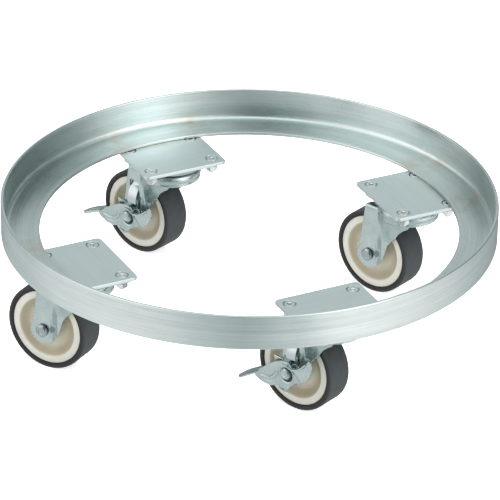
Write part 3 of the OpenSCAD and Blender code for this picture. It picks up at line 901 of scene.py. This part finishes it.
def build_wheels():
    half = TREAD_HALF
    tread = [(RIM_R, -half + 0.9), (48.4, -half + 0.2), (50.2, -half), (WHEEL_R, -half), (WHEEL_R, half),
             (50.2, half), (48.4, half - 0.2), (RIM_R, half - 0.9)]
    tread = rounded(tread, [0, 0.3, 1.0, 5.4, 5.4, 1.0, 0.3, 0], 9)
    rim, boss = 16.5, 22.6
    side = [(6.05, boss), (11.6, boss), (12.6, 9.0), (24.5, 7.6), (30.0, 9.3), (38.4, 15.3), (39.4, rim),
            (RIM_R, rim)]
    bend = [0.4, 0.8, 2.6, 3.0, 4.0, 0.9, 0.7, 0.3]
    outline = side + [(r, -z) for r, z in side[::-1]]
    hub = rounded(outline, bend + bend[::-1], 5)
    tread_mesh = to_mesh("tyre", revolve(tread, 160), 0)
    hub_mesh = to_mesh("hub", revolve(hub, 160), 50)
    for i in CASTERS:
        turn = wheel_frame(i)
        put(f"tyre_{i}", tread_mesh, f"wheel_{i}", tread_rubber, turn, [f"wheel_tread_{i}"])
        put(f"hub_{i}", hub_mesh, f"wheel_{i}", cream_plastic, turn, [f"wheel_hub_{i}"])


# ---------------------------------------------------------------- brake

LEVER_OUTLINE = [(49, -12), (38, -0.5), (26, 7.5), (14, 13.5), (4, 16.3), (-4, 15.5), (-8, 11.5),
                 (-14, 9.8), (-24, 12.5), (-33, 19), (-38, 24), (-42, 23.5), (-42.5, 14), (-38.5, 4),
                 (-32, -3.5), (-27, -5.5), (-16, -9.5), (-8, -14), (-1, -21.5), (10, -20), (14, -17.5),
                 (24, -20.5), (34, -19.5), (43, -16)]
LEVER_CORNERS = [1.5, 8, 10, 10, 5, 4, 3, 8, 10, 8, 2.5, 2.5, 6, 8, 4, 3, 8, 5, 1, 1, 3, 6, 6, 6]
RIB_ONE = [(40, -8), (33, -8.8), (26, -8.4), (20.5, -5.8), (17, -2.4), (14.5, 1.2)]
RIB_TWO = [(37, -12.4), (30, -13.8), (23, -13.0), (17.5, -9.8), (13.5, -5.6), (11.4, -1.0)]


def near_path(a, b, path):
    """Distance from (a, b) to a bent line."""
    p, best = Vector((a, b)), 1e9
    for s, e in zip(path, path[1:]):
        s, e = Vector(s), Vector(e)
        t = max(0.0, min(1.0, (p - s).dot(e - s) / (e - s).length_squared))
        best = min(best, (p - s.lerp(e, t)).length)
    return best


LIP = [(1.0, 13.2), (-5.0, 12.6), (-9.0, 9.9), (-14.0, 8.6), (-21.0, 10.1), (-29.0, 14.6), (-36.0, 20.6)]
HOLE_A, HOLE_B = -2.0, -0.8  # middle of the lever's hole, from the axle


def lever_part():
    outer, inner, thick = 34.2, 25.8, 2.2
    outline = rounded(LEVER_OUTLINE, LEVER_CORNERS, 4)
    hole = circle(LEVER_HOLE_R, 48, HOLE_A, HOLE_B)
    parts = [upright(plate(outline, [hole], outer, outer + thick, 0.0, 1))]
    parts.append(upright(plate(circle(LEVER_HUB_R, 64), [circle(6.2, 40)], inner, inner + 2.5, 0.0, 1)))
    spur = rounded([(5.0, 8.0), (7.0, 14.2), (22.5, 18.0), (21.0, 10.7), (14.0, 6.0)], [0, 1, 0.5, 1, 2], 3)
    parts.append(upright(plate(spur, [], inner, inner + 2.5, 0.0, 1)))
    # The strip that joins the two plates over the axle
    rows = []
    for k in range(17):
        a = math.radians(58 + 74 * k / 16)
        rows.append([((LEVER_HUB_R * math.cos(a), inner + (outer - inner + thick) * j / 6,
                       LEVER_HUB_R * math.sin(a)),
                      (-math.cos(a), 0.0, -math.sin(a))) for j in range(7)])
    parts.append(slab(rows, 2.2))
    # Turned-out edge round the notch
    rows = []
    for k, (a, b) in enumerate(LIP):
        along = (Vector(LIP[min(len(LIP) - 1, k + 1)]) - Vector(LIP[max(0, k - 1)])).normalized()
        up = Vector((along.y, -along.x)) if along.x < 0 else Vector((-along.y, along.x))
        rows.append([((a + up.x, outer + (thick + 3.2) * j / 5, b + up.y), (-up.x, 0.0, -up.y))
                     for j in range(6)])
    parts.append(slab(rows, 2.0))
    # Tab folded in at the bottom, with a slit between it and the plate
    tab = [(14.0, -19.6), (4.4, -23.4), (3.6, -25.4), (13.4, -21.6)]
    parts.append(upright(plate(rounded(tab, 0.4, 2), [], outer - 3.0, outer + 1.4, 0.0, 1)))
    parts.append(upright(plate(rounded([(0.5, -20.0), (4.5, -21.0), (5.2, -25.0), (1.5, -24.4)], 0.6, 2), [],
                               outer - 1.0, outer + 1.8, 0.0, 1)))
    parts.append(pedal_part(outer + thick))
    return joined(*parts)


def pedal_part(face):
    """Foot pedal: a crowned tongue that runs on from the plate's end, its outer edge the lower one."""
    outer_edge = [(-5.0, 0.0), (30.0, 0.0), (33.5, -1.2), (35.2, -2.8), (35.9, -4.4)]
    inner_edge = [(-5.0, -9.0), (-2.0, -11.5), (10.0, -11.5), (22.0, -10.5), (31.0, -8.6), (34.8, -6.6),
                  (35.9, -4.8)]
    place = (Matrix.Translation((44.0, face, -8.4)) @ Matrix.Rotation(math.radians(24), 4, "Y")
             @ Matrix.Rotation(math.radians(-20), 4, "X"))
    rows = []
    for k in range(41):
        x = -5.0 + 40.9 * k / 40
        low, high = ramp(inner_edge, x), ramp(outer_edge, x)
        bow = 1.0 * math.sin(math.pi * k / 40)
        row = []
        for j in range(15):
            s = 2 * j / 14 - 1
            ridge = 0.4 * math.cos(3 * math.pi * s) * smooth(k / 40, 0.12, 0.3)
            z = 2.0 + bow - 0.7 * s * s + ridge
            row.append((tuple(place @ Vector((x, low + (high - low) * (s + 1) / 2, z))),
                        tuple(place.to_3x3() @ Vector((0, 0, -1)))))
        rows.append(row)
    return slab(rows, 2.0)


def build_brakes():
    mesh = fused("lever_pressing", lever_part(), 0.42, 3)
    fold = Vector((-13.0, 5.5)), Vector((-22.5, -6.7))
    along = (fold[1] - fold[0]).normalized()
    middle = [((p[0] + q[0]) / 2, (p[1] + q[1]) / 2) for p, q in zip(RIB_ONE, RIB_TWO)]
    for v in mesh.vertices:
        a, y, b = (c / MM for c in v.co)
        if y < 31.5 or a > 43:
            continue
        rise = 0.9 * (1 - smooth(near_path(a, b, middle), 1.5, 2.5))
        rise -= 0.7 * math.exp(-(near_path(a, b, RIB_ONE) / 0.75) ** 2)
        rise -= 0.5 * math.exp(-(near_path(a, b, RIB_TWO) / 0.75) ** 2)
        rise += 0.5 * math.exp(-((math.hypot(a - HOLE_A, b - HOLE_B) - 11.3) / 0.8) ** 2)
        beside = (a - fold[0].x) * along.y - (b - fold[0].y) * along.x
        inward = 0.12 * max(0.0, beside)
        rise -= inward + 0.9 * math.exp(-(beside / 0.7) ** 2)
        v.co += Vector((0.89 * inward, rise, -0.61 * inward)) * MM
    for i in BRAKED:
        press = math.radians(-joints[f"brake_{i}"]["range_deg"][0])
        put(f"lever_pressing_{i}", mesh, f"lever_{i}", fork_steel,
            axle_frame(i) @ Matrix.Rotation(press, 4, "Y"), [f"brake_lever_{i}"])


def build_springs():
    """Leaf that comes out through the window and bows down to the lever."""
    bends = [(19.0, 30.4), (26.0, 30.0), (32.5, 28.2), (38.6, 25.0), (43.0, 22.0), (46.0, 21.2), (60.4, 21.2)]
    path = [(ramp(bends, up), AXLE_Z + up) for up in [60.4, 55.0] + [50.0 - 31.0 * k / 30 for k in range(31)]]
    rows = []
    for k, (y, z) in enumerate(path):
        y0, z0 = path[max(0, k - 1)]
        y1, z1 = path[min(len(path) - 1, k + 1)]
        dy, dz = y1 - y0, z1 - z0
        length = math.hypot(dy, dz)
        out = (-dz / length, dy / length)
        inward = (0.0, -out[0], -out[1])
        row = []
        for j in range(11):
            s = j / 10 * 2 - 1
            crown = 0.25 * (1 - s * s)
            row.append(((38.7 + 7.0 * s, y + out[0] * (0.5 + crown), z + out[1] * (0.5 + crown)), inward))
        rows.append(row)
    mesh = to_mesh("leaf", slab(rows, 1.0), 45)
    for i in BRAKED:
        put(f"leaf_{i}", mesh, f"fork_body_{i}", spring_steel, fork_frame(i),
            [f"brake_spring_{i}"])


# ---------------------------------------------------------------- what stays from the CAD

def finish_cad_nodes():
    looks = {"king_pin": screw_steel, "race_cup": fork_steel, "swivel_balls": screw_steel,
             "axle_sleeve": screw_steel}
    for name, node in frame["nodes"].items():
        kind = name.rsplit("_", 1)[0]
        if kind in looks:
            remember_own_frame(node.data)
            node.data.materials.clear()
            node.data.materials.append(looks[kind])


# ---------------------------------------------------------------- stage

VIEW_AZIMUTH = math.radians(26.97)
VIEW_ELEVATION = math.radians(27.21)
VIEW_DISTANCE = 4.9765
LENS_MM, SENSOR_MM = 294.6, 36.0
AIM_DOWN = math.radians(0.7463)
AIM_RIGHT = math.radians(0.0148)
ROLL = math.radians(0.92)
BACKWARD = Vector((-math.sin(VIEW_AZIMUTH), -math.cos(VIEW_AZIMUTH), 0.0))
RIGHT = Vector((math.cos(VIEW_AZIMUTH), -math.sin(VIEW_AZIMUTH), 0.0))


def build_camera():
    data = bpy.data.cameras.new("camera")
    data.lens = LENS_MM
    data.sensor_width = SENSOR_MM
    data.clip_start, data.clip_end = 0.1, 100.0
    camera = bpy.data.objects.new("camera", data)
    bpy.context.scene.collection.objects.link(camera)
    away = BACKWARD * math.cos(VIEW_ELEVATION) + Vector((0, 0, math.sin(VIEW_ELEVATION)))
    camera.location = Vector((0, 0, cad_high.z)) + away * VIEW_DISTANCE
    aim = (-away).to_track_quat("-Z", "Y")
    aim = aim @ Quaternion((1, 0, 0), -AIM_DOWN) @ Quaternion((0, 1, 0), -AIM_RIGHT)
    camera.rotation_mode = "QUATERNION"
    camera.rotation_quaternion = aim @ Quaternion((0, 0, 1), ROLL)
    bpy.context.scene.camera = camera


def build_floor():
    t = Tree("floor_paint")
    where = t.new("TexCoord").outputs["Object"]
    cloud = t.noise(where, 1.5, 2.0)
    t.set(Base_Color=t.mix(cloud, rgb(0.93, 0.93, 0.93), rgb(0.95, 0.95, 0.95)), Roughness=0.9,
          Specular_IOR_Level=0.1, Emission_Color=rgb(1, 1, 1), Emission_Strength=0.6)
    mesh = bpy.data.meshes.new("floor")
    size, z = 30.0, cad_low.z
    mesh.from_pydata([(-size, -size, z), (size, -size, z), (size, size, z), (-size, size, z)], [],
                     [(0, 1, 2, 3)])
    floor = bpy.data.objects.new("floor", mesh)
    floor.data.materials.append(t.material)
    floor.visible_glossy = False
    bpy.context.scene.collection.objects.link(floor)


def panel(name, azimuth, elevation, distance, size, power, colour):
    """Soft box: azimuth is counted to the right from the camera's side."""
    a, e = math.radians(azimuth), math.radians(elevation)
    toward = (BACKWARD * math.cos(a) + RIGHT * math.sin(a)) * math.cos(e) + Vector((0, 0, math.sin(e)))
    data = bpy.data.lights.new(name, "AREA")
    data.shape = "RECTANGLE"
    data.size, data.size_y = size
    data.energy = power
    data.color = colour
    lamp = bpy.data.objects.new(name, data)
    lamp.location = toward * distance
    lamp.rotation_mode = "QUATERNION"
    lamp.rotation_quaternion = toward.to_track_quat("Z", "Y")
    lamp.visible_glossy = False
    bpy.context.scene.collection.objects.link(lamp)


def build_world():
    """Even white to the eye; what the steel mirrors is a studio of pale and grey walls."""
    world = bpy.data.worlds.new("studio")
    bpy.context.scene.world = world
    world.use_nodes = True
    tree = world.node_tree

    def new(kind, values=None, **props):
        return add_node(tree, kind, values, **props)

    def blend(factor, a, b):
        return new("Mix", {0: factor, 6: a, 7: b}, data_type="RGBA").outputs[2]

    def by_height(start, end, first, last):
        """Goes from first to last while the direction's height goes from start to end."""
        return new("MapRange", {0: up, 1: start, 2: end, 3: first, 4: last},
                   interpolation_type="SMOOTHSTEP").outputs[0]

    direction = new("TexCoord").outputs["Generated"]
    side = new("VectorMath", {0: direction, 1: RIGHT}, operation="DOT_PRODUCT").outputs["Value"]
    near = new("VectorMath", {0: direction, 1: BACKWARD}, operation="DOT_PRODUCT").outputs["Value"]
    azimuth = new("Math", {0: side, 1: near}, operation="ARCTAN2").outputs[0]
    across = new("MapRange", {0: azimuth, 1: -math.pi, 2: math.pi, 3: 0.0, 4: 1.0}).outputs[0]

    def walls(stops):
        node = new("ValToRGB", {0: across})
        node.color_ramp.interpolation = "EASE"
        points = node.color_ramp.elements
        while len(points) < len(stops):
            points.new(0.5)
        for point, (angle, level) in zip(points, stops):
            point.position = (angle + 180) / 360
            warm = 0.94 + 0.14 * smooth(level, 0.4, 1.1)
            point.color = (level * warm, level, level, 1.0)
        return node.outputs[0]

    low = walls([(-180, 0.25), (-160, 0.36), (-140, 0.58), (-120, 0.64), (-100, 0.80), (-80, 0.88),
                 (-60, 0.88), (-40, 0.86), (-20, 0.66), (0, 0.54), (20, 0.74), (45, 1.06), (75, 1.00),
                 (100, 0.88), (120, 0.66), (140, 0.50), (160, 0.32), (180, 0.25)])
    high = walls([(-180, 0.60), (-162, 0.50), (-140, 0.30), (-90, 1.35), (-70, 1.42), (-48, 1.20),
                  (-20, 0.42), (0, 0.08), (22, 0.9), (48, 2.5), (72, 1.45), (90, 0.5), (120, 0.2),
                  (145, 0.16), (162, 0.50), (180, 0.60)])
    up = new("SeparateXYZ", {0: direction}).outputs[2]
    studio = blend(by_height(-0.30, 0.15, 0.0, 1.0), low, high)
    studio = blend(by_height(0.74, 0.88, 0.0, 1.0), studio, (1.25, 1.28, 1.28, 1))
    studio = blend(by_height(-0.78, -0.60, 1.0, 0.0), studio, (0.72, 0.74, 0.73, 1))
    seen = new("LightPath").outputs["Is Camera Ray"]
    back = tree.nodes["Background"]
    tree.links.new(blend(seen, studio, (1, 1, 1, 1)), back.inputs[0])
    back.inputs[1].default_value = 1.25


def build_stage():
    build_camera()
    build_floor()
    build_world()
    panel("overhead", 175, 66, 3.2, (3.0, 2.2), 60, (1.0, 1.0, 1.0))
    panel("right_box", 78, 22, 3.0, (1.6, 1.4), 30, (0.96, 0.985, 1.0))
    panel("left_box", -80, 26, 3.0, (1.6, 1.4), 12, (1.0, 1.0, 0.985))
    panel("front_box", -10, 68, 3.0, (1.2, 1.0), 14, (0.97, 1.0, 1.0))
    bpy.context.scene.view_settings.view_transform = "Standard"


build_stage()
build_ring()
build_plates()
build_fasteners()
build_welds()
build_top_plates()
build_forks()
build_axles()
build_wheels()
build_brakes()
build_springs()
finish_cad_nodes()
